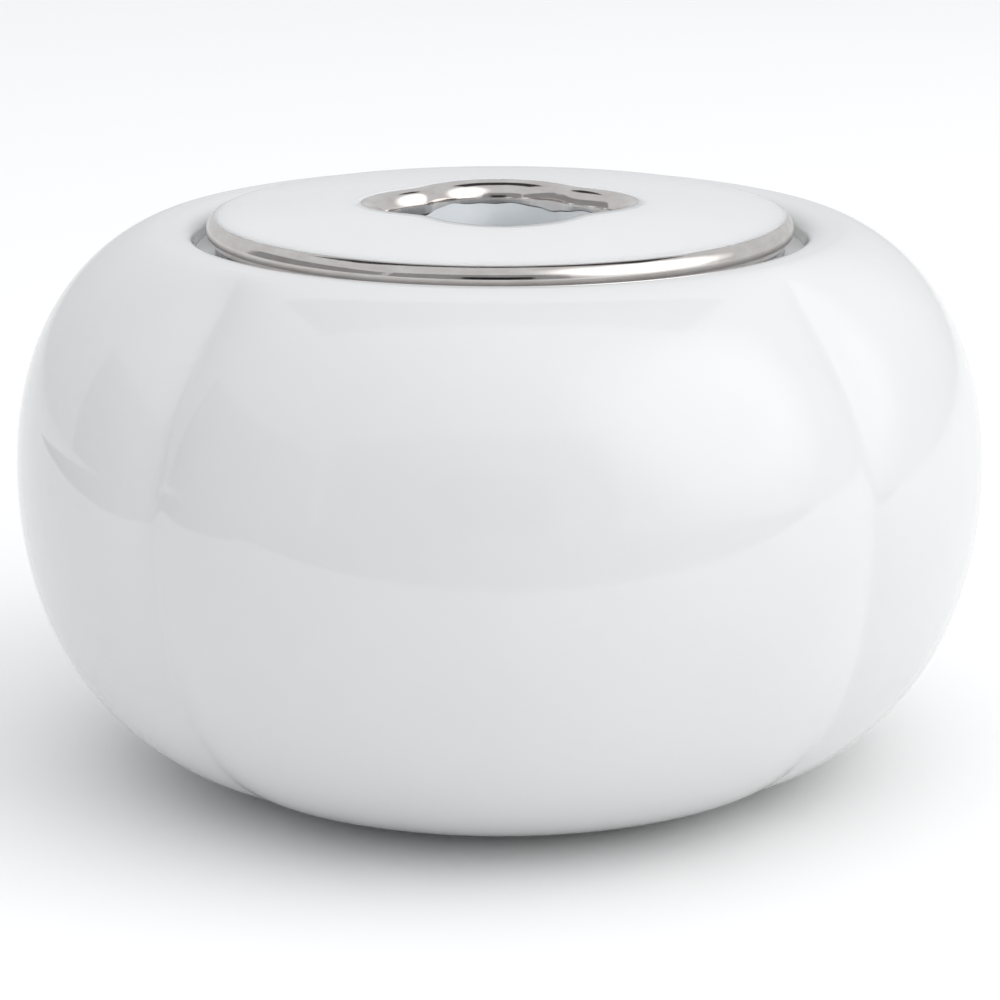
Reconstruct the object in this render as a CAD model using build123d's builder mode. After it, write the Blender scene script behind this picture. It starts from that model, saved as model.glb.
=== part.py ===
from build123d import *
import math
import os

# Lidded four-lobed porcelain scent diffuser. Millimetres, +Z up.
# The origin is on the table, under the middle of the foot. The lobes point along
# +X, +Y, -X and -Y, and the grooves between them are at 45 degrees.

# ---- driving dimensions -------------------------------------------------------
lobe_count = 4
across_lobes = 120.0         # widest, from lobe to opposite lobe
equator_height = 37.3        # height of the widest section above the foot
crest_height = 67.4          # height of the shoulder's crest above the foot
crest_radius = 42.0          # radius of that crest
foot_radius = 29.3           # outer radius of the flat foot
foot_bulge = 0.50            # how far out, as a share, the curve from the foot runs flat
belly_share = 0.66           # how much of the height under the equator is near upright
shoulder_share = 0.76        # how much of the height above the equator is near upright
crest_share = 0.22           # how far out, as a share, the crest runs flat
wall = 4.0                   # thickness of the cast wall
floor_height = 6.0           # top of the inner floor above the foot
ceiling_height = 60.4        # top of the hollow above the foot

groove_depth = 0.036         # depth of a groove at the equator, as a share of the radius
groove_depth_foot = 0.024    # the same at the foot
groove_depth_shoulder = 0.11  # the same on the shoulder, were it not for the fading
groove_fade = 10             # power by which the groove dies out towards the crest
groove_spread = 0.11         # angle over which a groove opens out up to the equator, in radians
groove_spread_crest = 0.17   # the same at the crest

foot_ring_width = 5.0        # flat ring that the pot stands on
foot_recess = 2.0            # depth of the hollow inside the foot ring
pad_count = 4
pad_radius = 1.9
pad_thickness = 1.0
pad_stand = 0.6              # how far each pad stands out of the foot ring

mouth_radius = 31.5          # hole that the lid's collar drops into
recess_radius = 37.5         # wall of the sunken seat round the lid
ledge_height = 64.4          # height of the seat above the foot
rim_roll = 2.4               # depth of the roll from the crest into the seat
crest_flat = 1.0             # level ring on the crest, outside the roll

lid_radius = 36.1
lid_thickness = 3.6          # at the rounded edge
lid_rise = 1.5               # how much higher the middle of the dome is than its edge
collar_radius = 30.9
collar_wall = 3.0
collar_depth = 5.0
metal = 0.3                  # thickness of the fired metal
band_start = 26.0            # angle down from the top of the round edge to the band

leaf_tip = 14.7              # from the axis to the tip of each leaf of the opening
leaf_radius = 7.9
leaf_corner = 2.5            # rounding of the corner between two leaves
lip_rounding = 2.2           # rounding of the opening's upper edge
lining_height = 0.8          # lined part of the opening's wall, below the rounding
neck_radius = 17.7           # outside of the neck that carries the opening's wall down inside the lid

seal_outer_radius = 35.0
seal_inner_radius = 31.9
seal_thickness = 0.8
seal_gap = 0.05              # running gap above and below the seal

mat_radius = 18.0
mat_thickness = 1.0
cup_radius = 24.0
cup_foot_radius = 16.0
cup_height = 30.0
cup_wall = 2.6
cup_curve = 12.0             # how high up the cup's side its lower curve reaches
cup_belly = 4.0              # how low the curve's upper handle hangs; the lower, the rounder
cup_lip = 1.2                # how far the cup's lip stands out for the fingers
cup_lip_depth = 3.0
stone_radius = 17.5
stone_height = 14.0
stone_edge = 1.5             # rounding of the stone's edges
stone_dish_radius = 11.0     # shallow dish in the stone's top, for the drops of oil
stone_dish_depth = 1.5
stone_gap = 0.3              # gap between the stone and the cup's floor

# ---- heights worked out from them, above the table ------------------------------
foot_z = pad_stand
crest_z = foot_z + crest_height
ledge_z = foot_z + ledge_height
floor_z = foot_z + floor_height
seal_z = ledge_z + seal_gap
lid_z = seal_z + seal_thickness + seal_gap
lid_edge_z = lid_z + lid_thickness
lid_top_z = lid_edge_z + lid_rise
nose_radius = lid_thickness / 2
nose_center = lid_radius - nose_radius
lip_z = lid_edge_z + lid_rise * (1 - (leaf_tip / nose_center) ** 2) - lip_rounding
lining_z = lip_z - lining_height
cup_z = floor_z + mat_thickness
cup_top_z = cup_z + cup_height
stone_z = cup_z + cup_wall + stone_gap
stone_top_z = stone_z + stone_height
cut_margin = 5.0             # how far cutting shapes run past what they cut

os.makedirs("parts", exist_ok=True)


# ---- shared shape functions -----------------------------------------------------
def curve_point(points, t):
    """Point (radius, height) on a cubic curve."""
    shares = ((1 - t) ** 3, 3 * t * (1 - t) ** 2, 3 * t**2 * (1 - t), t**3)
    radius = sum(share * point[0] for share, point in zip(shares, points))
    height = sum(share * point[1] for share, point in zip(shares, points))
    return radius, height


def lobe_outline(low_steps=8, high_steps=9):
    """Points (radius, height) up the middle of a lobe, from the foot to the crest."""
    widest = across_lobes / 2
    flare = foot_radius + foot_bulge * (widest - foot_radius)
    belly = (1 - belly_share) * equator_height
    low = ((foot_radius, 0), (flare, 0), (widest, belly), (widest, equator_height))
    rise = crest_height - equator_height
    shoulder = crest_radius + crest_share * (widest - crest_radius)
    high = ((widest, equator_height), (widest, equator_height + shoulder_share * rise),
            (shoulder, crest_height), (crest_radius, crest_height))
    points = [curve_point(low, step / low_steps) for step in range(low_steps)]
    points += [curve_point(high, step / high_steps) for step in range(high_steps + 1)]
    return points


def moved_inwards(points, distance):
    """The outline moved square to itself, towards the inside of the pot."""
    moved = []
    for index, (radius, height) in enumerate(points):
        before = points[max(index - 1, 0)]
        after = points[min(index + 1, len(points) - 1)]
        length = math.dist(before, after)
        moved.append((radius - distance * (after[1] - before[1]) / length,
                      height + distance * (after[0] - before[0]) / length))
    return moved


def between(points, low, high):
    """The stretch of an outline between two heights, with its ends cut to them."""
    stretch = []
    for (radius_1, height_1), (radius_2, height_2) in zip(points, points[1:]):
        for level in (low, high):
            if height_1 < level <= height_2:
                share = (level - height_1) / (height_2 - height_1)
                stretch.append((radius_1 + share * (radius_2 - radius_1), level))
        if low < height_2 < high:
            stretch.append((radius_2, height_2))
    return stretch


def groove_at(height):
    """Depth of a groove, as a share of the radius, and its spread, at a height above the foot."""
    up = min(max((height - equator_height) / (crest_height - equator_height), 0), 1)
    down = min(max(1 - height / equator_height, 0), 1)
    depth = groove_depth
    depth += (groove_depth_foot - groove_depth) * down**2
    depth += (groove_depth_shoulder - groove_depth) * up**2
    depth *= 1 - up**groove_fade
    spread = groove_spread + (groove_spread_crest - groove_spread) * up
    return depth, spread


def lobed_section(height, radius):
    """Sketch with one smooth side for each lobe, which meets the next in a groove."""
    half_turn = math.pi / lobe_count
    depth, spread = groove_at(height)
    # Where the points of a side lie: shares of half a lobe, counted from its groove.
    near_groove = (0.07, 0.18, 0.34, 0.6)
    sides = [-1 + gap for gap in near_groove]
    shares = [-1] + sides + [0] + [-share for share in reversed(sides)] + [1]
    with BuildSketch(Plane.XY.offset(foot_z + height)) as section:
        with BuildLine():
            for lobe in range(lobe_count):
                side = []
                for share in shares:
                    from_groove = half_turn * (1 - abs(share))
                    reach = radius * (1 - depth * math.exp(-from_groove / spread))
                    angle = half_turn * (share + 2 * lobe)
                    side.append((reach * math.cos(angle), reach * math.sin(angle)))
                Spline(*side)
        make_face()
    return section.sketch


def ring_section(inner, outer, low, high):
    """Rectangle between two radii and two heights, for turning about the axis."""
    with Locations(((inner + outer) / 2, (low + high) / 2)):
        Rectangle(outer - inner, high - low)


def leaf_section(height, growth=0.0):
    """Sketch of the four-leaved opening, grown outwards by growth."""
    with BuildSketch(Plane.XY.offset(height)) as section:
        with PolarLocations(leaf_tip - leaf_radius, lobe_count):
            Circle(leaf_radius)
        by_distance = section.vertices().sort_by(lambda vertex: math.hypot(vertex.X, vertex.Y))
        fillet(by_distance[:lobe_count], leaf_corner)
        if growth:
            offset(amount=growth)
    return section.sketch


def band_section():
    """The metal's section round the lid's nose, from band_start down to its underside."""
    middle = (nose_center, lid_z + nose_radius)
    sweep = 180 - band_start
    outer = CenterArc(middle, nose_radius, 90 - band_start, -sweep)
    inner = CenterArc(middle, nose_radius - metal, 90 - band_start, -sweep)
    Line(outer @ 0, inner @ 0)
    Line(outer @ 1, inner @ 1)


# ---- pot ------------------------------------------------------------------------
outside = lobe_outline()
inside = moved_inwards(outside, wall)

with BuildPart() as pot_body:
    # Outer shape, through sections from the foot to the crest.
    loft([lobed_section(height, radius) for radius, height in outside])
    # Hollow, which follows the lobes one wall inwards.
    hollow_outline = between(inside, floor_height, ceiling_height)
    loft([lobed_section(height, radius) for radius, height in hollow_outline], mode=Mode.SUBTRACT)
    # Mouth and the sunken seat for the lid.
    with BuildSketch(Plane.XZ):
        ring_section(0, mouth_radius, foot_z + ceiling_height - cut_margin, crest_z + cut_margin)
        ring_section(0, recess_radius, ledge_z, crest_z + cut_margin)
    revolve(axis=Axis.Z, mode=Mode.SUBTRACT)
    # Roll from the crest down into the seat.
    with BuildSketch(Plane.XZ):
        with BuildLine():
            roll_outer = crest_radius - crest_flat
            roll_start = (recess_radius, crest_z - rim_roll)
            roll = Bezier(roll_start, (recess_radius, crest_z - rim_roll / 2),
                          (recess_radius + (roll_outer - recess_radius) / 4, crest_z),
                          (roll_outer, crest_z))
            Polyline(roll @ 1, (roll_outer, crest_z + cut_margin),
                     (0, crest_z + cut_margin), (0, roll_start[1]), roll @ 0)
        make_face()
    revolve(axis=Axis.Z, mode=Mode.SUBTRACT)
    # Hollow inside the foot ring.
    ring_inner = foot_radius - foot_ring_width
    with BuildSketch(Plane.XY.offset(foot_z)):
        Circle(ring_inner)
    extrude(amount=foot_recess, mode=Mode.SUBTRACT)
    # Dimples that the foot pads are let into.
    with BuildSketch(Plane.XY.offset(foot_z)):
        with PolarLocations(foot_radius - foot_ring_width / 2, pad_count):
            Circle(pad_radius)
    extrude(amount=pad_thickness - pad_stand, mode=Mode.SUBTRACT)

pot_body.part.label = "pot_body"
export_step(pot_body.part, "parts/pot_body.step")

# ---- foot pads ------------------------------------------------------------------
for number in range(pad_count):
    turned = Plane.XY.rotated((0, 0, number * 360 / pad_count))
    with BuildPart() as foot_pad:
        with BuildSketch(turned):
            with Locations((foot_radius - foot_ring_width / 2, 0)):
                Circle(pad_radius)
        extrude(amount=pad_thickness)
    pad_name = f"foot_pad_{number + 1}"
    foot_pad.part.label = pad_name
    export_step(foot_pad.part, f"parts/{pad_name}.step")

# ---- lid --------------------------------------------------------------------------
with BuildPart() as lid_disc:
    with BuildSketch(Plane.XZ):
        with BuildLine():
            # At half its radius, so shallow a dome has three quarters of its rise.
            dome_middle = (nose_center / 2, lid_edge_z + lid_rise * 3 / 4)
            dome = ThreePointArc((0, lid_top_z), dome_middle, (nose_center, lid_edge_z))
            nose = CenterArc((nose_center, lid_z + nose_radius), nose_radius, 90, -180)
            Polyline(nose @ 1, (collar_radius, lid_z), (collar_radius, lid_z - collar_depth),
                     (collar_radius - collar_wall, lid_z - collar_depth),
                     (collar_radius - collar_wall, lid_z), (0, lid_z), dome @ 0)
        make_face()
    revolve(axis=Axis.Z)
    # The neck, as deep as the collar, and the opening through it.
    neck_z = lid_z - collar_depth
    with BuildSketch(Plane.XY.offset(neck_z)):
        Circle(neck_radius)
    extrude(amount=collar_depth)
    extrude(leaf_section(neck_z), amount=lid_top_z - neck_z, mode=Mode.SUBTRACT)
    # The opening's upper edge is rounded over.
    upper_edges = lid_disc.edges().filter_by(lambda edge: edge.center().Z > lid_edge_z)
    lip_edges = upper_edges.filter_by(
        lambda edge: math.hypot(edge.center().X, edge.center().Y) < leaf_tip + metal)
    fillet(lip_edges, lip_rounding)
    # Rebates for the lining and the edge band.
    extrude(leaf_section(lining_z, metal), amount=lining_height, mode=Mode.SUBTRACT)
    with BuildSketch(Plane.XZ):
        with BuildLine():
            band_section()
        make_face()
    revolve(axis=Axis.Z, mode=Mode.SUBTRACT)

lid_disc.part.label = "lid_disc"
export_step(lid_disc.part, "parts/lid_disc.step")

with BuildPart() as lid_edge_band:
    with BuildSketch(Plane.XZ):
        with BuildLine():
            band_section()
        make_face()
    revolve(axis=Axis.Z)

lid_edge_band.part.label = "lid_edge_band"
export_step(lid_edge_band.part, "parts/lid_edge_band.step")

with BuildPart() as opening_lining:
    extrude(leaf_section(lining_z, metal), amount=lining_height)
    extrude(leaf_section(lining_z), amount=lining_height, mode=Mode.SUBTRACT)

opening_lining.part.label = "opening_lining"
export_step(opening_lining.part, "parts/opening_lining.step")

with BuildPart() as lid_seal:
    with BuildSketch(Plane.XZ):
        ring_section(seal_inner_radius, seal_outer_radius, seal_z, seal_z + seal_thickness)
    revolve(axis=Axis.Z)

lid_seal.part.label = "lid_seal"
export_step(lid_seal.part, "parts/lid_seal.step")

# ---- inside ---------------------------------------------------------------------
with BuildPart() as cup_mat:
    with BuildSketch(Plane.XY.offset(floor_z)):
        Circle(mat_radius)
    extrude(amount=mat_thickness)

cup_mat.part.label = "cup_mat"
export_step(cup_mat.part, "parts/cup_mat.step")

with BuildPart() as scent_cup:
    with BuildSketch(Plane.XZ):
        with BuildLine():
            inner_radius = cup_radius - cup_wall
            inner_foot = cup_foot_radius - cup_wall / 2
            cup_floor_z = cup_z + cup_wall
            lip_z = cup_top_z - cup_lip_depth
            curve = Bezier((cup_foot_radius, cup_z), (cup_radius, cup_z),
                           (cup_radius, cup_z + cup_belly), (cup_radius, cup_z + cup_curve))
            hollow = Bezier((inner_foot, cup_floor_z), (inner_radius, cup_floor_z),
                            (inner_radius, cup_floor_z + cup_belly),
                            (inner_radius, cup_floor_z + cup_curve))
            Polyline(curve @ 1, (cup_radius, lip_z - cup_lip), (cup_radius + cup_lip, lip_z),
                     (cup_radius + cup_lip, cup_top_z), (inner_radius, cup_top_z), hollow @ 1)
            Polyline(hollow @ 0, (0, cup_floor_z), (0, cup_z), curve @ 0)
        make_face()
    revolve(axis=Axis.Z)
    lip_edges = scent_cup.edges().filter_by(GeomType.CIRCLE).group_by(Axis.Z)[-1]
    fillet(lip_edges, cup_lip)

scent_cup.part.label = "scent_cup"
export_step(scent_cup.part, "parts/scent_cup.step")

with BuildPart() as scent_stone:
    with BuildSketch(Plane.XY.offset(stone_z)):
        Circle(stone_radius)
    extrude(amount=stone_height)
    fillet(scent_stone.edges().filter_by(GeomType.CIRCLE), stone_edge)
    # Shallow dish in the top, cut by a ball that meets the rim of the dish.
    ball_radius = (stone_dish_radius**2 + stone_dish_depth**2) / (2 * stone_dish_depth)
    with Locations((0, 0, stone_top_z - stone_dish_depth + ball_radius)):
        Sphere(ball_radius, mode=Mode.SUBTRACT)

scent_stone.part.label = "scent_stone"
export_step(scent_stone.part, "parts/scent_stone.step")
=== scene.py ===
import math

import bpy
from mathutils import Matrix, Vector


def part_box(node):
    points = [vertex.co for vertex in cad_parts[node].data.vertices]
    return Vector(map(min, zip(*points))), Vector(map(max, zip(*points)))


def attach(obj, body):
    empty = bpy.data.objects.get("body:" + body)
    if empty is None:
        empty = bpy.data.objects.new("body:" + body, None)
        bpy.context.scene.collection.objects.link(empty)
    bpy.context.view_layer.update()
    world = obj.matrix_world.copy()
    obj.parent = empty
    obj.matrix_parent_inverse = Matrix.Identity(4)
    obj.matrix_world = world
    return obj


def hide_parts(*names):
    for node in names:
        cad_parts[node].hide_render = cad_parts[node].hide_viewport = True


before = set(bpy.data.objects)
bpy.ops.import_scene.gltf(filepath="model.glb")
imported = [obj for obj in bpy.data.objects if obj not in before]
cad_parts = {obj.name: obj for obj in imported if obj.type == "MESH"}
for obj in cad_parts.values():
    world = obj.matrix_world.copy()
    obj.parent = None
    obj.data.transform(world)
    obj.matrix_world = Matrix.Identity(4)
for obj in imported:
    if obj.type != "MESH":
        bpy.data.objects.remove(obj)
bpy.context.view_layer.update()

# Lidded four-lobed porcelain scent diffuser. Metres, in the frame of the CAD model:
# +Z up, lobes along +X, +Y, -X and -Y, grooves between them at 45 degrees.

MM = 0.001


def span(node):
    """(largest radius, lowest z, highest z) of a CAD node about the axis, in metres."""
    low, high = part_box(node)
    return (high[0] - low[0]) / 2, low[2], high[2]


# ---- sizes from the frame ---------------------------------------------------------
pot_radius, foot_z, crest_z = span("pot_body")
band_radius, band_low_z, _ = span("lid_edge_band")
_, collar_z, _ = span("lid_disc")
lining_radius, lining_z, _ = span("opening_lining")
seal_radius, seal_z, seal_top_z = span("lid_seal")
cup_radius, cup_z, cup_top_z = span("scent_cup")
stone_radius, stone_z, stone_top_z = span("scent_stone")
mat_radius, mat_z, mat_top_z = span("cup_mat")

# ---- sizes of the design that the frame doesn't give --------------------------------
LOBES = 4
HALF_TURN = math.pi / LOBES
equator_z = foot_z + 37.3 * MM
crest_radius = 42.0 * MM
crest_flat = 1.0 * MM
foot_radius = 29.3 * MM
foot_ring_width = 5.0 * MM
foot_recess = 2.0 * MM
foot_bulge = 0.50
belly_share = 0.66
shoulder_share = 0.76
crest_share = 0.22
wall = 4.0 * MM
floor_z = mat_z
ceiling_z = foot_z + 60.4 * MM
groove_depth = 0.036         # shares of the radius
groove_depth_foot = 0.024
groove_depth_shoulder = 0.11
groove_fade = 10
groove_spread = 0.11         # radians
groove_spread_crest = 0.17
groove_softness = 0.015      # radians over which a groove's bottom is rounded
mouth_radius = 31.5 * MM
recess_radius = 37.5 * MM
ledge_z = foot_z + 64.4 * MM
rim_roll = 2.4 * MM
foot_fillet = 0.8 * MM       # at the foot ring's inner edge
recess_fillet = 1.0 * MM     # in the corner of the recess under the pot
ledge_fillet = 0.5 * MM      # in the corner of the lid's seat
mouth_fillet = 0.6 * MM      # at the mouth's upper edge
ceiling_fillet = 0.8 * MM    # at the mouth's lower edge
ceiling_run = 4.0 * MM       # width of the flat ring under the seat
floor_start = 0.94           # the floor's first ring, as a share of the hollow's foot
floor_rings = (24.0 * MM, 12.0 * MM)

lid_z = band_low_z
lid_edge_z = lid_z + 3.6 * MM
nose_radius = (lid_edge_z - lid_z) / 2
nose_center = band_radius - nose_radius
lid_rise = 1.5 * MM
collar_radius = 30.9 * MM
collar_wall = 3.0 * MM
neck_radius = 17.7 * MM
seat_fillet = 0.6 * MM       # between the lid's rim and its collar
collar_fillet = 0.8 * MM     # at the collar's lower edges
inner_fillet = 1.2 * MM      # in the corners under the lid, inside the collar
neck_fillet = 1.0 * MM       # at the neck's lower outer edge
neck_flat = 1.5 * MM         # width of the neck's flat lower end
metal = 0.3 * MM
band_start = 26.0            # degrees down from the top of the nose


# ---- small shape functions ----------------------------------------------------------
def cubic(points, count):
    """count + 1 points (radius, z) along a cubic curve."""
    curve = []
    for step in range(count + 1):
        t = step / count
        weights = ((1 - t) ** 3, 3 * t * (1 - t) ** 2, 3 * t**2 * (1 - t), t**3)
        curve.append(tuple(sum(w * p[axis] for w, p in zip(weights, points)) for axis in (0, 1)))
    return curve


def rounded(corners, count=5):
    """Points along straight runs between corners (radius, z, rounding)."""
    most = 0.49              # share of a run that one rounding may use
    points = [corners[0][:2]]
    for before, corner, after in zip(corners, corners[1:], corners[2:]):
        here = Vector(corner[:2])
        back = Vector(before[:2]) - here
        ahead = Vector(after[:2]) - here
        half = back.angle(ahead) / 2
        if corner[2] == 0:
            points.append(corner[:2])
            continue
        reach = min(corner[2] / math.tan(half), most * back.length, most * ahead.length)
        start = here + back.normalized() * reach
        end = here + ahead.normalized() * reach
        for step in range(count + 1):
            t = step / count
            point = start * (1 - t) ** 2 + here * 2 * t * (1 - t) + end * t**2
            points.append((point.x, point.y))
    points.append(corners[-1][:2])
    return points


def runs(points, longest):
    """The same outline with no step longer than longest."""
    fine = [points[0]]
    for before, after in zip(points, points[1:]):
        parts = max(1, math.ceil(math.dist(before, after) / longest))
        for part in range(1, parts + 1):
            t = part / parts
            fine.append(tuple(a + (b - a) * t for a, b in zip(before, after)))
    return fine


def soft_distance(angle, softness):
    """Angle from the nearest groove, rounded off within softness of it."""
    from_groove = abs(angle % (2 * HALF_TURN) - HALF_TURN)
    return math.hypot(from_groove, softness)


def lobe_angles(per_lobe=72, crowding=0.4):
    """Angles once round, closer together near the grooves."""
    angles = []
    for lobe in range(LOBES):
        for step in range(per_lobe):
            across = 2 * step / per_lobe - 1
            share = (1 + crowding) * across - crowding * across**3
            angles.append(HALF_TURN * (share + 2 * lobe))
    return angles


def even_angles(count):
    """Angles once round, all the same distance apart."""
    return [2 * math.pi * step / count for step in range(count)]


def skin(name, rows, angles, closed=False):
    """Mesh object whose rows are functions angle -> (radius, z), or one (0, z) point for a pole.

    Rows run up the outside, so that the faces look outwards."""
    vertices = []
    row_starts = []
    for row in rows:
        row_starts.append(len(vertices))
        if isinstance(row, tuple):
            vertices.append((0, 0, row[1]))
        else:
            for angle in angles:
                radius, z = row(angle)
                vertices.append((radius * math.cos(angle), radius * math.sin(angle), z))
    faces = []
    count = len(angles)
    pairs = list(zip(range(len(rows)), range(1, len(rows))))
    if closed:
        pairs.append((len(rows) - 1, 0))
    for low, high in pairs:
        for column in range(count):
            beside = (column + 1) % count
            a, b = row_starts[low], row_starts[high]
            if isinstance(rows[low], tuple):
                faces.append((a, b + beside, b + column))
            elif isinstance(rows[high], tuple):
                faces.append((a + column, a + beside, b))
            else:
                faces.append((a + column, a + beside, b + beside, b + column))
    mesh = bpy.data.meshes.new(name)
    mesh.from_pydata(vertices, [], faces)
    mesh.polygons.foreach_set("use_smooth", [True] * len(mesh.polygons))
    mesh.update()
    made = bpy.data.objects.new(name, mesh)
    bpy.context.collection.objects.link(made)
    return made


def ring(radius, z):
    """A plain round row."""
    return lambda angle: (radius, z)


# ---- pot --------------------------------------------------------------------------
def groove_at(z):
    """Depth of a groove, as a share of the radius, and its spread, at a height."""
    up = min(max((z - equator_z) / (crest_z - equator_z), 0), 1)
    down = min(max((equator_z - z) / (equator_z - foot_z), 0), 1)
    depth = groove_depth
    depth += (groove_depth_foot - groove_depth) * down**2
    depth += (groove_depth_shoulder - groove_depth) * up**2
    depth *= 1 - up**groove_fade
    return depth, groove_spread + (groove_spread_crest - groove_spread) * up


def lobed(radius, z):
    """A row that follows the lobes."""
    depth, spread = groove_at(z)

    def row(angle):
        away = soft_distance(angle, groove_softness) - groove_softness
        return radius * (1 - depth * math.exp(-away / spread)), z
    return row


def lobe_outline(inset, steps_below=44, steps_above=52):
    """Points up the middle of a lobe from foot to crest, moved square inwards by inset."""
    flare = foot_radius + foot_bulge * (pot_radius - foot_radius)
    belly_z = foot_z + (1 - belly_share) * (equator_z - foot_z)
    shoulder_z = equator_z + shoulder_share * (crest_z - equator_z)
    shoulder = crest_radius + crest_share * (pot_radius - crest_radius)
    low = cubic(((foot_radius, foot_z), (flare, foot_z), (pot_radius, belly_z),
                 (pot_radius, equator_z)), steps_below)
    high = cubic(((pot_radius, equator_z), (pot_radius, shoulder_z), (shoulder, crest_z),
                  (crest_radius, crest_z)), steps_above)
    points = low + high[1:]
    moved = []
    for index, (radius, z) in enumerate(points):
        before = points[max(index - 1, 0)]
        after = points[min(index + 1, len(points) - 1)]
        length = math.dist(before, after)
        moved.append((radius - inset * (after[1] - before[1]) / length,
                      z + inset * (after[0] - before[0]) / length))
    return moved


def make_pot():
    """The cast pot: foot ring, lobes, crest, seat for the lid, and the hollow inside."""
    ring_inner = foot_radius - foot_ring_width
    recess_z = foot_z + foot_recess
    under = rounded([(0, recess_z, 0), (ring_inner, recess_z, recess_fillet),
                     (ring_inner, foot_z, foot_fillet), (foot_radius, foot_z, 0)])
    under = runs(under, longest=3 * MM)
    outside = lobe_outline(0)
    roll_outer = crest_radius - crest_flat
    roll_middle = recess_radius + (roll_outer - recess_radius) / 4
    roll = cubic(((roll_outer, crest_z), (roll_middle, crest_z),
                  (recess_radius, crest_z - rim_roll / 2),
                  (recess_radius, crest_z - rim_roll)), count=14)
    seat = rounded([(recess_radius, crest_z - rim_roll, 0), (recess_radius, ledge_z, ledge_fillet),
                    (mouth_radius, ledge_z, mouth_fillet),
                    (mouth_radius, ceiling_z, ceiling_fillet),
                    (mouth_radius + ceiling_run, ceiling_z, 0)])
    seat = runs(seat, longest=1.5 * MM)
    inside = [point for point in lobe_outline(wall) if floor_z < point[1] < ceiling_z]
    rows = [(0, recess_z)] + [ring(*point) for point in under[1:]]
    rows += [lobed(*point) for point in outside[1:]]
    rows += [ring(*point) for point in roll + seat[1:]]
    rows += [lobed(*point) for point in reversed(inside)]
    rows += [ring(radius, floor_z) for radius in (inside[0][0] * floor_start, *floor_rings)]
    rows += [(0, floor_z)]
    return skin("pot", rows, lobe_angles())


pot = make_pot()
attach(pot, "pot")
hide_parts("pot_body")


# ---- lid ----------------------------------------------------------------------------
leaf_tip = lining_radius - metal
leaf_radius = 7.9 * MM
leaf_softness = 0.16         # radians over which the corner between two leaves is rounded
lip_tip = 2.4 * MM           # how far the lip's rounding reaches outwards at a leaf's tip
lip_corner = 1.5 * MM        # the same at the corners between leaves
lip_drop = 2.2 * MM          # height of the rounding
neck_rounding = 1.0 * MM     # at the neck's lower inner edge
leaf_reach = leaf_tip - leaf_radius


def opening_radius(angle):
    """Radius of the opening's wall at an angle."""
    turn = HALF_TURN - soft_distance(angle, leaf_softness)
    aside = leaf_reach * math.sin(turn)
    return leaf_reach * math.cos(turn) + math.sqrt(leaf_radius**2 - aside**2)


def lip_width(angle):
    """How far the lip's rounding reaches outwards from the wall."""
    share = min(soft_distance(angle, leaf_softness) / HALF_TURN, 1)
    return lip_corner + (lip_tip - lip_corner) * share


def dome_z(radius):
    """Height of the lid's top."""
    return lid_edge_z + lid_rise * (1 - (radius / nose_center) ** 2)


def band_edge(angle):
    """Angle down the nose where the metal starts: brushed on by hand, so not quite even."""
    waver = 0.9 * math.sin(3 * angle + 0.7) + 0.7 * math.sin(7 * angle + 2.1)
    return band_start + waver


def lining_edge(angle):
    """Height of the lining's lower edge, ragged where the brush left it."""
    ragged = (0.26 * math.sin(4 * angle + 0.4) + 0.16 * math.sin(9 * angle + 1.9)
              + 0.07 * math.sin(23 * angle + 0.3))
    return lining_z + (0.1 + ragged) * MM


def glaze_turn(share):
    """Degrees down the nose, share of the way from its top to the metal."""
    return lambda angle: band_edge(angle) * share


def metal_turn(share):
    """Degrees down the nose, share of the way from the metal's edge to the underside."""
    return lambda angle: band_edge(angle) + (180 - band_edge(angle)) * share


def nose_row(turn_at, inset):
    """A row on the lid's rounded edge; turn_at gives degrees down from the top."""
    def row(angle):
        turn = math.radians(turn_at(angle))
        reach = nose_radius - inset
        return nose_center + reach * math.sin(turn), lid_z + nose_radius + reach * math.cos(turn)
    return row


def lip_row(share, inset):
    """A row on the opening's rounded lip: share 0 at the top of the lid, 1 at the wall."""
    def row(angle):
        width = lip_width(angle)
        outer = opening_radius(angle) + width
        top = dome_z(outer)
        turn = share * math.pi / 2
        return (outer - (width - inset) * math.sin(turn),
                top - lip_drop + (lip_drop - inset) * math.cos(turn))
    return row


def dome_row(share):
    """A row on the lid's top: share 0 at the lip, 1 at the rounded edge."""
    def row(angle):
        inner = opening_radius(angle) + lip_width(angle)
        radius = inner + (nose_center - inner) * share
        return radius, dome_z(radius)
    return row


def wall_row(height_at, inset):
    """A row on the opening's wall; height_at gives its height at an angle."""
    return lambda angle: (opening_radius(angle) + inset, height_at(angle))


def lip_base(angle):
    """Height where the lip's rounding ends and the wall begins."""
    return dome_z(opening_radius(angle) + lip_width(angle)) - lip_drop


def drop_height(share):
    """Height on the wall, share of the way from the lip's base to the metal's lower edge."""
    return lambda angle: lip_base(angle) + (lining_edge(angle) - lip_base(angle)) * share


def neck_row(share):
    """A row on the rounded lower edge of the opening: share 0 underneath, 1 on the wall."""
    turn = share * math.pi / 2
    return wall_row(lambda angle: collar_z + (1 - math.cos(turn)) * neck_rounding,
                    (1 - math.sin(turn)) * neck_rounding)


def shares(count, first=0):
    """Shares of the way along something, up to 1, in count steps."""
    return [step / count for step in range(first, count + 1)]


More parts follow.
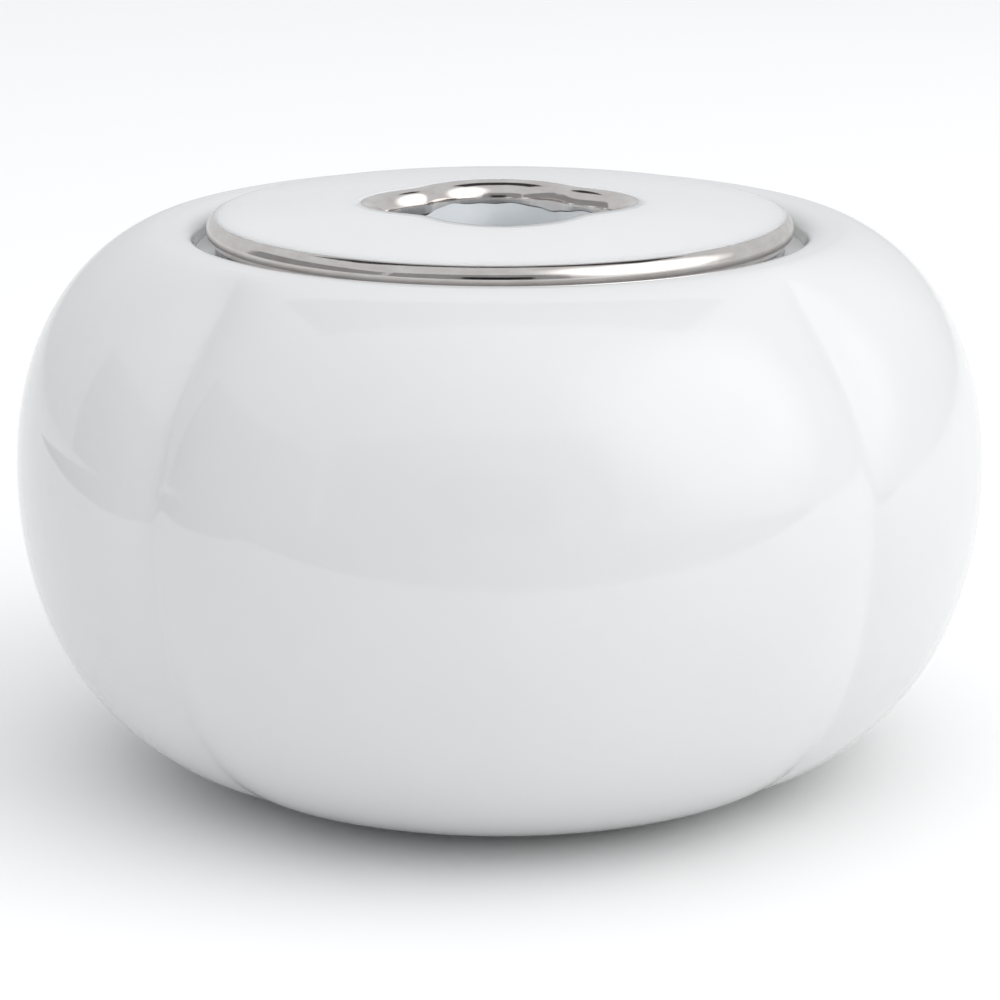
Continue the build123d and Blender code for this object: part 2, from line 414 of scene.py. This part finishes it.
def make_lid():
    """The cast lid, with rebates under its metal."""
    collar_inner = collar_radius - collar_wall
    under = rounded([(nose_center, lid_z, 0), (collar_radius, lid_z, seat_fillet),
                     (collar_radius, collar_z, collar_fillet),
                     (collar_inner, collar_z, collar_fillet), (collar_inner, lid_z, inner_fillet),
                     (neck_radius, lid_z, inner_fillet), (neck_radius, collar_z, neck_fillet),
                     (neck_radius - neck_flat, collar_z, 0)])
    rows = [dome_row(share) for share in shares(16)]
    rows += [nose_row(glaze_turn(share), 0) for share in shares(4, first=1)]
    rows += [nose_row(metal_turn(share), metal) for share in shares(20)]
    rows += [ring(nose_center, lid_z)]
    rows += [ring(*point) for point in runs(under, longest=1.5 * MM)[1:]]
    rows += [neck_row(share) for share in shares(4)]
    rows += [wall_row(lining_edge, 0), wall_row(lining_edge, metal), wall_row(lip_base, metal)]
    rows += [lip_row(1 - share, metal) for share in shares(10, first=1)]
    return skin("lid", rows[::-1], lobe_angles(), closed=True)


def make_band():
    """The fired metal round the lid's edge."""
    rows = [nose_row(metal_turn(share), 0) for share in shares(28)]
    rows += [nose_row(metal_turn(1 - share), metal) for share in shares(12)]
    return skin("lid_band", rows[::-1], lobe_angles(), closed=True)


def make_lining():
    """The fired metal over the opening's lip and down its wall."""
    rows = [lip_row(share, 0) for share in shares(12)]
    rows += [wall_row(drop_height(share), 0) for share in shares(5, first=1)]
    rows += [wall_row(lining_edge, metal), wall_row(lip_base, metal)]
    rows += [lip_row(1 - share, metal) for share in shares(12, first=1)[:-1]]
    return skin("lining", rows, lobe_angles(), closed=True)


lid = make_lid()
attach(lid, "lid")
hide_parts("lid_disc")

band = make_band()
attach(band, "lid")
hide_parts("lid_edge_band")

lining = make_lining()
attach(lining, "lid")
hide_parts("opening_lining")


# ---- turned pieces ------------------------------------------------------------------
def turned(name, outline, columns=96, longest=2 * MM):
    """A piece turned about the axis; outline is corners (radius, z, rounding), outwards first."""
    return turned_points(name, runs(rounded(outline), longest), columns)


def turned_points(name, points, columns):
    """A piece turned about the axis from points (radius, z) that need no more rounding."""
    rows = [tuple(point) if point[0] == 0 else ring(*point) for point in points]
    return skin(name, rows, even_angles(columns))


def make_seal():
    """The silicone ring, with two soft ribs that touch the lid and the ledge."""
    inner = 31.9 * MM
    middle = (inner + seal_radius) / 2
    groove = 0.5 * MM        # half the width of the groove between the ribs
    dip = 0.12 * MM          # its depth
    soft = 0.2 * MM          # roundings at the groove and at the edges
    edge = 0.25 * MM
    outline = [(middle, seal_z + dip, 0), (middle + groove, seal_z, soft),
               (seal_radius, seal_z, edge), (seal_radius, seal_top_z, edge),
               (middle + groove, seal_top_z, soft), (middle, seal_top_z - dip, soft),
               (middle - groove, seal_top_z, soft), (inner, seal_top_z, edge),
               (inner, seal_z, edge), (middle - groove, seal_z, soft),
               (middle, seal_z + dip, 0)]
    points = runs(rounded(outline), longest=0.8 * MM)[:-1]
    return skin("seal", [ring(*point) for point in points], even_angles(144), closed=True)


def make_cup():
    """The inner cup: a small foot, a curved side and a lip for the fingers."""
    lip = 1.2 * MM           # how far the lip stands out
    lip_height = 3.0 * MM
    thick = 2.6 * MM
    foot = 16.0 * MM         # radius of the flat foot
    foot_width = 2.4 * MM    # width of its flat ring
    slope = 0.6 * MM         # width of the slope from the ring up to the middle
    hollow = 0.4 * MM        # how far the middle is raised
    curve = 12.0 * MM        # height of the curved part of the side
    step_fillet = 0.8 * MM   # roundings under the lip and at its top
    top_fillet = 1.2 * MM
    side = cup_radius - lip
    inside = side - thick
    floor = cup_z + thick
    lip_z = cup_top_z - lip_height
    foot_inner = foot - foot_width
    under = rounded([(0, cup_z + hollow, 0), (foot_inner - slope, cup_z + hollow, 0.4 * MM),
                     (foot_inner, cup_z, 0.3 * MM), (foot, cup_z, 0)])
    low = cubic(((foot, cup_z), (side, cup_z), (side, cup_z + curve / 3), (side, cup_z + curve)),
                count=12)
    upper = rounded([(side, cup_z + curve, 0), (side, lip_z - lip, step_fillet),
                     (cup_radius, lip_z, step_fillet), (cup_radius, cup_top_z, top_fillet),
                     (inside, cup_top_z, top_fillet), (inside, floor + curve, 0)])
    bowl = cubic(((inside, floor + curve), (inside, floor + curve / 3),
                  (inside, floor), (foot - thick / 2, floor)), count=12)
    points = under + low[1:] + upper[1:] + bowl[1:] + [(0, floor)]
    return turned_points("inner_cup", runs(points, longest=2 * MM), columns=120)


def make_mat():
    """The silicone mat, with shallow rings moulded in its top."""
    ring_step = 3.0 * MM
    groove = 0.4 * MM        # half the width of a ring
    dip = 0.25 * MM          # its depth
    soft = 0.2 * MM          # its roundings
    outline = [(0, mat_z, 0), (mat_radius, mat_z, 0.3 * MM), (mat_radius, mat_top_z, 0.4 * MM)]
    radius = mat_radius - ring_step / 2
    while radius > ring_step:
        outline += [(radius, mat_top_z, soft), (radius - groove, mat_top_z - dip, soft),
                    (radius - 2 * groove, mat_top_z, soft)]
        radius -= ring_step
    outline += [(0, mat_top_z, 0)]
    return turned("mat", outline)


def make_stone():
    """The porous stone, with worn edges and a shallow dish for the drops."""
    dish_radius = 11.0 * MM
    dish_depth = 1.5 * MM
    dish_rim = 1.0 * MM      # how far the dish's rounded rim reaches out
    outline = [(0, stone_z, 0), (stone_radius, stone_z, 1.5 * MM),
               (stone_radius, stone_top_z, 1.6 * MM),
               (dish_radius + dish_rim, stone_top_z, 1.2 * MM)]
    outline += [(dish_radius * share, stone_top_z - dish_depth * (1 - share**2), 0)
                for share in (0.85, 0.7, 0.5, 0.3)]
    outline += [(0, stone_top_z - dish_depth, 0)]
    return turned("stone", outline, longest=1.2 * MM)


def make_pad(number):
    """A small domed silicone pad under the foot ring."""
    low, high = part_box(f"foot_pad_{number}")
    middle = ((low[0] + high[0]) / 2, (low[1] + high[1]) / 2)
    radius = (high[0] - low[0]) / 2
    flat = 0.6               # share of the radius that touches the table
    shoulder_z = low[2] + 0.45 * MM
    outline = [(0, low[2], 0), (radius * flat, low[2], 0.6 * MM), (radius, shoulder_z, 0.5 * MM),
               (radius, high[2], 0.1 * MM), (0, high[2], 0)]
    pad = turned(f"pad_{number}", outline, columns=40, longest=0.6 * MM)
    for vertex in pad.data.vertices:
        vertex.co.x += middle[0]
        vertex.co.y += middle[1]
    return pad


seal = make_seal()
cup = make_cup()
mat = make_mat()
stone = make_stone()
for piece, body, node, slot in ((seal, "lid_ring", "lid_seal", "seal_silicone"),
                                (cup, "cup", "scent_cup", "cup_porcelain"),
                                (mat, "pot", "cup_mat", "mat_silicone"),
                                (stone, "stone", "scent_stone", "stone")):
    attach(piece, body)
    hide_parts(node)

pads = [make_pad(number) for number in range(1, 5)]
for number, pad in enumerate(pads, start=1):
    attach(pad, "pot")
    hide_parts(f"foot_pad_{number}")


# ---- materials ------------------------------------------------------------------------
# Each pair is the colours that a material's blotches run between.
# The pot's and the lid's whites are one glaze in two tones: the pot's is painted shade and the
# lid's is painted light, for the stronger light that falls on the lid's top.
POT_WHITE_SHADED = ((0.675, 0.680, 0.685), (0.695, 0.699, 0.703))
LID_WHITE_LIT = ((0.745, 0.750, 0.758), (0.765, 0.768, 0.776))
# Painted shade: a blue-grey on the white glaze of the opening's wall below the metal and of the
# neck, for the shade inside the opening.
NECK_SHADE_GREY = ((0.62, 0.655, 0.685), (0.66, 0.69, 0.72))
CUP_WHITE = ((0.84, 0.84, 0.84), (0.86, 0.86, 0.86))
FOOT_WHITE = ((0.70, 0.69, 0.66), (0.84, 0.83, 0.80))
LUSTRE_GREY = ((0.70, 0.655, 0.63), (0.80, 0.77, 0.75))
SEAL_GREY = ((0.70, 0.72, 0.74), (0.78, 0.80, 0.81))
MAT_GREY = ((0.42, 0.43, 0.45), (0.48, 0.49, 0.51))
PAD_GREY = ((0.80, 0.83, 0.84), (0.86, 0.88, 0.89))
STONE_GREY = ((0.62, 0.57, 0.50), (0.83, 0.80, 0.74))
FLOOR_WHITE = ((0.90, 0.90, 0.90), (0.91, 0.91, 0.91))


class Painter:
    """Adds nodes to one material, with its Principled shader ready."""

    def __init__(self, name, **sockets):
        self.material = bpy.data.materials.new(name)
        self.material.use_nodes = True
        self.nodes = self.material.node_tree.nodes
        self.links = self.material.node_tree.links
        self.shader = self.nodes["Principled BSDF"]
        for socket, value in sockets.items():
            self.shader.inputs[socket.replace("_", " ")].default_value = value
        coordinates = self.nodes.new("ShaderNodeTexCoord")
        self.place = coordinates.outputs["Object"]

    def noise(self, size, detail=2.0, stretch=(1, 1, 1), roughness=0.5):
        """Noise whose blotches are about size metres across."""
        mapping = self.nodes.new("ShaderNodeMapping")
        mapping.inputs["Scale"].default_value = [factor / size for factor in stretch]
        self.links.new(self.place, mapping.inputs["Vector"])
        noise = self.nodes.new("ShaderNodeTexNoise")
        noise.inputs["Scale"].default_value = 1.0
        noise.inputs["Detail"].default_value = detail
        noise.inputs["Roughness"].default_value = roughness
        self.links.new(mapping.outputs["Vector"], noise.inputs["Vector"])
        return noise.outputs["Fac"]

    def ramp(self, value, low, high, from_low=0.3, from_high=0.7):
        """value, from about 0.3 to 0.7, turned into numbers or colours from low to high."""
        if isinstance(low, (int, float)):
            spread = self.nodes.new("ShaderNodeMapRange")
            spread.inputs["From Min"].default_value = from_low
            spread.inputs["From Max"].default_value = from_high
            spread.inputs["To Min"].default_value = low
            spread.inputs["To Max"].default_value = high
            self.links.new(value, spread.inputs["Value"])
            return spread.outputs["Result"]
        ramp = self.nodes.new("ShaderNodeValToRGB")
        ramp.color_ramp.elements[0].position = from_low
        ramp.color_ramp.elements[0].color = (*low, 1)
        ramp.color_ramp.elements[1].position = from_high
        ramp.color_ramp.elements[1].color = (*high, 1)
        self.links.new(value, ramp.inputs["Fac"])
        return ramp.outputs["Color"]

    def bump(self, *layers):
        """Bumps one over another; each layer is (height value, distance in metres, strength)."""
        below = None
        for value, distance, strength in layers:
            bump = self.nodes.new("ShaderNodeBump")
            bump.inputs["Distance"].default_value = distance
            bump.inputs["Strength"].default_value = strength
            self.links.new(value, bump.inputs["Height"])
            if below:
                self.links.new(below, bump.inputs["Normal"])
            below = bump.outputs["Normal"]
        self.links.new(below, self.shader.inputs["Normal"])

    def set(self, socket, value):
        self.links.new(value, self.shader.inputs[socket])


def glazed_porcelain(name, low, high, glow=0.0, glow_reach=1.0 * MM):
    """White porcelain under clear glaze: slow waves in the glaze and faint specks. With glow, light
    goes on through its thin walls."""
    paint = Painter(name, Roughness=0.07, IOR=1.5, Subsurface_Weight=glow,
                    Subsurface_Radius=(1.0, 0.95, 0.9), Subsurface_Scale=glow_reach)
    paint.set("Base Color", paint.ramp(paint.noise(22 * MM, 3), low, high))
    paint.set("Roughness", paint.ramp(paint.noise(9 * MM, 2), 0.03, 0.06))
    waves = paint.noise(14 * MM, 1)
    specks = paint.noise(0.8 * MM, 1)
    paint.bump((waves, 0.03 * MM, 0.35), (specks, 0.002 * MM, 0.3))
    return paint.material


def lustre(name):
    """Fired platinum: bright, slightly warm, with fine brush marks and thin patches."""
    paint = Painter(name, Metallic=1.0, Roughness=0.1)
    paint.set("Base Color", paint.ramp(paint.noise(3 * MM, 4, stretch=(1, 1, 3)), *LUSTRE_GREY))
    paint.set("Roughness", paint.ramp(paint.noise(1.4 * MM, 4), 0.06, 0.16))
    ripples = paint.noise(2.5 * MM, 2)
    brush_marks = paint.noise(0.35 * MM, 2)
    paint.bump((ripples, 0.02 * MM, 0.4), (brush_marks, 0.004 * MM, 0.4))
    return paint.material


def silicone(name, low, high, clear=0.0):
    """Silicone rubber: satin, with a fine moulded grain."""
    paint = Painter(name, Roughness=0.4, IOR=1.41, Transmission_Weight=clear)
    paint.set("Base Color", paint.ramp(paint.noise(4 * MM, 3), low, high))
    paint.set("Roughness", paint.ramp(paint.noise(0.6 * MM, 3), 0.35, 0.5))
    paint.bump((paint.noise(0.25 * MM, 2), 0.01 * MM, 0.5))
    return paint.material


def porous_stone(name):
    """Unglazed porous stone: warm, mottled and pitted."""
    paint = Painter(name, Roughness=0.9)
    paint.set("Base Color", paint.ramp(paint.noise(2.2 * MM, 6), *STONE_GREY))
    paint.set("Roughness", paint.ramp(paint.noise(1.0 * MM, 4), 0.8, 1.0))
    pits = paint.noise(1.6 * MM, 5)
    grain = paint.noise(0.3 * MM, 3)
    paint.bump((pits, 0.25 * MM, 0.6), (grain, 0.06 * MM, 0.6))
    return paint.material


def bare_porcelain(name):
    """The foot ring, wiped free of glaze: matt, slightly warmer, a little grey from use."""
    paint = Painter(name, Roughness=0.75)
    paint.set("Base Color", paint.ramp(paint.noise(1.5 * MM, 5), *FOOT_WHITE))
    paint.set("Roughness", paint.ramp(paint.noise(0.7 * MM, 3), 0.65, 0.85))
    paint.bump((paint.noise(0.2 * MM, 3), 0.03 * MM, 0.6))
    return paint.material


def second_material(piece, wanted):
    """Gives the piece's second material to the faces whose (radius, z) is wanted."""
    for polygon in piece.data.polygons:
        middle = polygon.center
        if wanted(math.hypot(middle.x, middle.y), middle.z):
            polygon.material_index = 1


bare_low = foot_radius - foot_ring_width    # the wiped part of the foot, and how far up it goes
bare_high = foot_radius + 1.5 * MM
bare_height = 0.25 * MM
# Height up to which the opening's wall and the neck get the painted shade.
neck_shade_top_z = lining_z + 1.0 * MM

# Painted shade: the pot's glaze colour is darker than the lid's, though both are the same glaze.
pot.data.materials.append(glazed_porcelain("pot_glaze_shaded", *POT_WHITE_SHADED))
pot.data.materials.append(bare_porcelain("foot_bare"))
second_material(pot, lambda radius, z: bare_low < radius < bare_high and z < foot_z + bare_height)
# Painted light: the lid's glaze colour is lighter than the pot's, though both are the same glaze,
# for the light that falls on its top.
lid.data.materials.append(glazed_porcelain("lid_glaze_lit", *LID_WHITE_LIT, glow=0.9, glow_reach=4 * MM))
# Painted shade inside the opening: its wall below the metal and the neck get the blue-grey glaze
# colour.
lid.data.materials.append(glazed_porcelain("neck_glaze_painted_shade", *NECK_SHADE_GREY))
second_material(lid, lambda radius, z: radius < neck_radius and z < neck_shade_top_z)
cup.data.materials.append(glazed_porcelain("cup_glaze", *CUP_WHITE))
band.data.materials.append(lustre("band_lustre"))
lining.data.materials.append(lustre("lining_lustre"))
seal.data.materials.append(silicone("seal_silicone", *SEAL_GREY, clear=0.3))
mat.data.materials.append(silicone("mat_silicone", *MAT_GREY))
stone.data.materials.append(porous_stone("stone"))
pad_silicone = silicone("pad_silicone", *PAD_GREY, clear=0.5)
for pad in pads:
    pad.data.materials.append(pad_silicone)


# ---- studio ---------------------------------------------------------------------------
def glow_material(name, color, strength, size, soft):
    """A see-through light, whose outer part fades out; soft is that part's share of its reach."""
    material = bpy.data.materials.new(name)
    material.use_nodes = True
    nodes = material.node_tree.nodes
    links = material.node_tree.links
    nodes.clear()
    place = nodes.new("ShaderNodeTexCoord")
    shrink = nodes.new("ShaderNodeMapping")
    shrink.inputs["Scale"].default_value = (2 / size[0], 2 / size[1], 1)
    ball = nodes.new("ShaderNodeTexGradient")
    ball.gradient_type = "SPHERICAL"
    fade = nodes.new("ShaderNodeMapRange")
    fade.interpolation_type = "SMOOTHSTEP"
    fade.inputs["From Max"].default_value = soft
    fade.inputs["To Max"].default_value = strength
    glow = nodes.new("ShaderNodeEmission")
    glow.inputs["Color"].default_value = (*color, 1)
    clear = nodes.new("ShaderNodeBsdfTransparent")
    both = nodes.new("ShaderNodeAddShader")
    output = nodes.new("ShaderNodeOutputMaterial")
    links.new(place.outputs["Object"], shrink.inputs["Vector"])
    links.new(shrink.outputs["Vector"], ball.inputs["Vector"])
    links.new(ball.outputs["Fac"], fade.inputs["Value"])
    links.new(fade.outputs["Result"], glow.inputs["Strength"])
    links.new(glow.outputs["Emission"], both.inputs[0])
    links.new(clear.outputs["BSDF"], both.inputs[1])
    links.new(both.outputs["Shader"], output.inputs["Surface"])
    return material


def room_material(name, level):
    """An even, faintly blue grey that only the reflections see."""
    blue = 1.03
    material = bpy.data.materials.new(name)
    material.use_nodes = True
    nodes = material.node_tree.nodes
    nodes.clear()
    glow = nodes.new("ShaderNodeEmission")
    glow.inputs["Color"].default_value = (level, level, level * blue, 1)
    output = nodes.new("ShaderNodeOutputMaterial")
    material.node_tree.links.new(glow.outputs["Emission"], output.inputs["Surface"])
    return material


def sheet(name, width, height, material):
    """A flat level sheet about its own middle, for the render only."""
    right, far = width / 2, height / 2
    mesh = bpy.data.meshes.new(name)
    mesh.from_pydata([(-right, -far, 0), (right, -far, 0), (right, far, 0), (-right, far, 0)],
                     [], [(0, 1, 2, 3)])
    mesh.materials.append(material)
    made = bpy.data.objects.new(name, mesh)
    bpy.context.collection.objects.link(made)
    return made


def panel(name, center, size, normal, material):
    """A flat panel that faces along normal and that the camera doesn't see."""
    made = sheet(name, *size, material)
    made.location = center
    made.rotation_euler = Vector(normal).to_track_quat("Z", "Y").to_euler()
    made.visible_camera = False
    made.visible_shadow = False
    return made


def light(name, direction, distance, size, strength, color, soft):
    """A soft round light in a direction from the pot."""
    away = Vector(direction).normalized()
    material = glow_material(name, color, strength, size, soft)
    return panel(name, away * distance, size, -away, material)


def reflected(name, center, size, normal, level):
    """A grey stretch of room that shows only in the glaze and the metal."""
    made = panel(name, center, size, normal, room_material(name, level))
    made.visible_diffuse = False
    made.visible_transmission = False
    return made


def make_floor():
    """A plain matt white table that the pot stands on."""
    width = 12.0
    blotch = 0.5
    paint = Painter("floor_white", Roughness=0.9, Specular_IOR_Level=0.0)
    paint.set("Base Color", paint.ramp(paint.noise(blotch, 2), *FLOOR_WHITE))
    sheet("floor", width, width, paint.material)


make_floor()

world = bpy.data.worlds.new("studio")
world.use_nodes = True
world.node_tree.nodes["Background"].inputs["Color"].default_value = (0.97, 0.985, 1.0, 1)
world.node_tree.nodes["Background"].inputs["Strength"].default_value = 0.69
bpy.context.scene.world = world

light("key", direction=(0.72, -0.40, 0.58), distance=1.4, size=(2.4, 2.4), strength=1.5,
      color=(1.0, 0.99, 0.975), soft=0.7)
top = light("top", direction=(0.0, -0.1, 1.0), distance=2.2, size=(5.0, 5.0), strength=0.78,
            color=(1.0, 1.0, 1.0), soft=0.6)
top.visible_glossy = False

# In the reflections the white table ends a little in front and to the left of the pot. The room
# beyond is greyer, and darkest behind the camera and in a gap between the ceiling's lights.
room_level = 0.30
table_front = 0.196          # distance from the pot's middle to the table's edge
table_left = 0.35
room_stretches = (           # name, centre, size, facing, level
    ("room_floor_front", (0, -table_front - 1.0, 0.001), (4.0, 2.0), (0, 0, 1), room_level),
    ("room_floor_left", (-table_left - 1.0, 0.05, 0.001), (2.0, 0.5), (0, 0, 1), room_level),
    ("room_front", (-0.6, -2.2, 0.8), (3.2, 1.6), (0, 1, 0), room_level),
    ("room_left", (-2.2, -0.5, 0.6), (3.0, 1.2), (1, 0, 0), room_level),
    ("camera_side", (-0.08, -1.3, 0.28), (0.62, 0.45), (0, 1, 0), 0.02),
    ("ceiling_gap", (0.0, 0.39, 1.45), (1.7, 0.62), (0, -0.26, -0.97), 0.05),
)
for stretch in room_stretches:
    reflected(*stretch)

# ---- camera ---------------------------------------------------------------------------
camera_distance = 0.420      # from the pivot
camera_elevation = 14.3      # degrees
camera_turn = -2.4           # degrees about +Z, from straight in front
camera_lens = 120.5          # millimetres, as is the sensor's width
pivot_z = foot_z + 36.0 * MM
aim_z = foot_z + 32.1 * MM

camera_data = bpy.data.cameras.new("camera")
camera_data.lens = camera_lens
camera_data.sensor_width = 36.0
camera_data.clip_start = 0.01
camera_data.clip_end = 50.0
camera = bpy.data.objects.new("camera", camera_data)
bpy.context.collection.objects.link(camera)
rise = math.radians(camera_elevation)
turn = math.radians(camera_turn)
camera.location = (math.sin(turn) * math.cos(rise) * camera_distance,
                   -math.cos(turn) * math.cos(rise) * camera_distance,
                   pivot_z + math.sin(rise) * camera_distance)
look = Vector((0, 0, aim_z)) - camera.location
camera.rotation_euler = look.to_track_quat("-Z", "Y").to_euler()
bpy.context.scene.camera = camera
bpy.context.scene.view_settings.view_transform = "Standard"
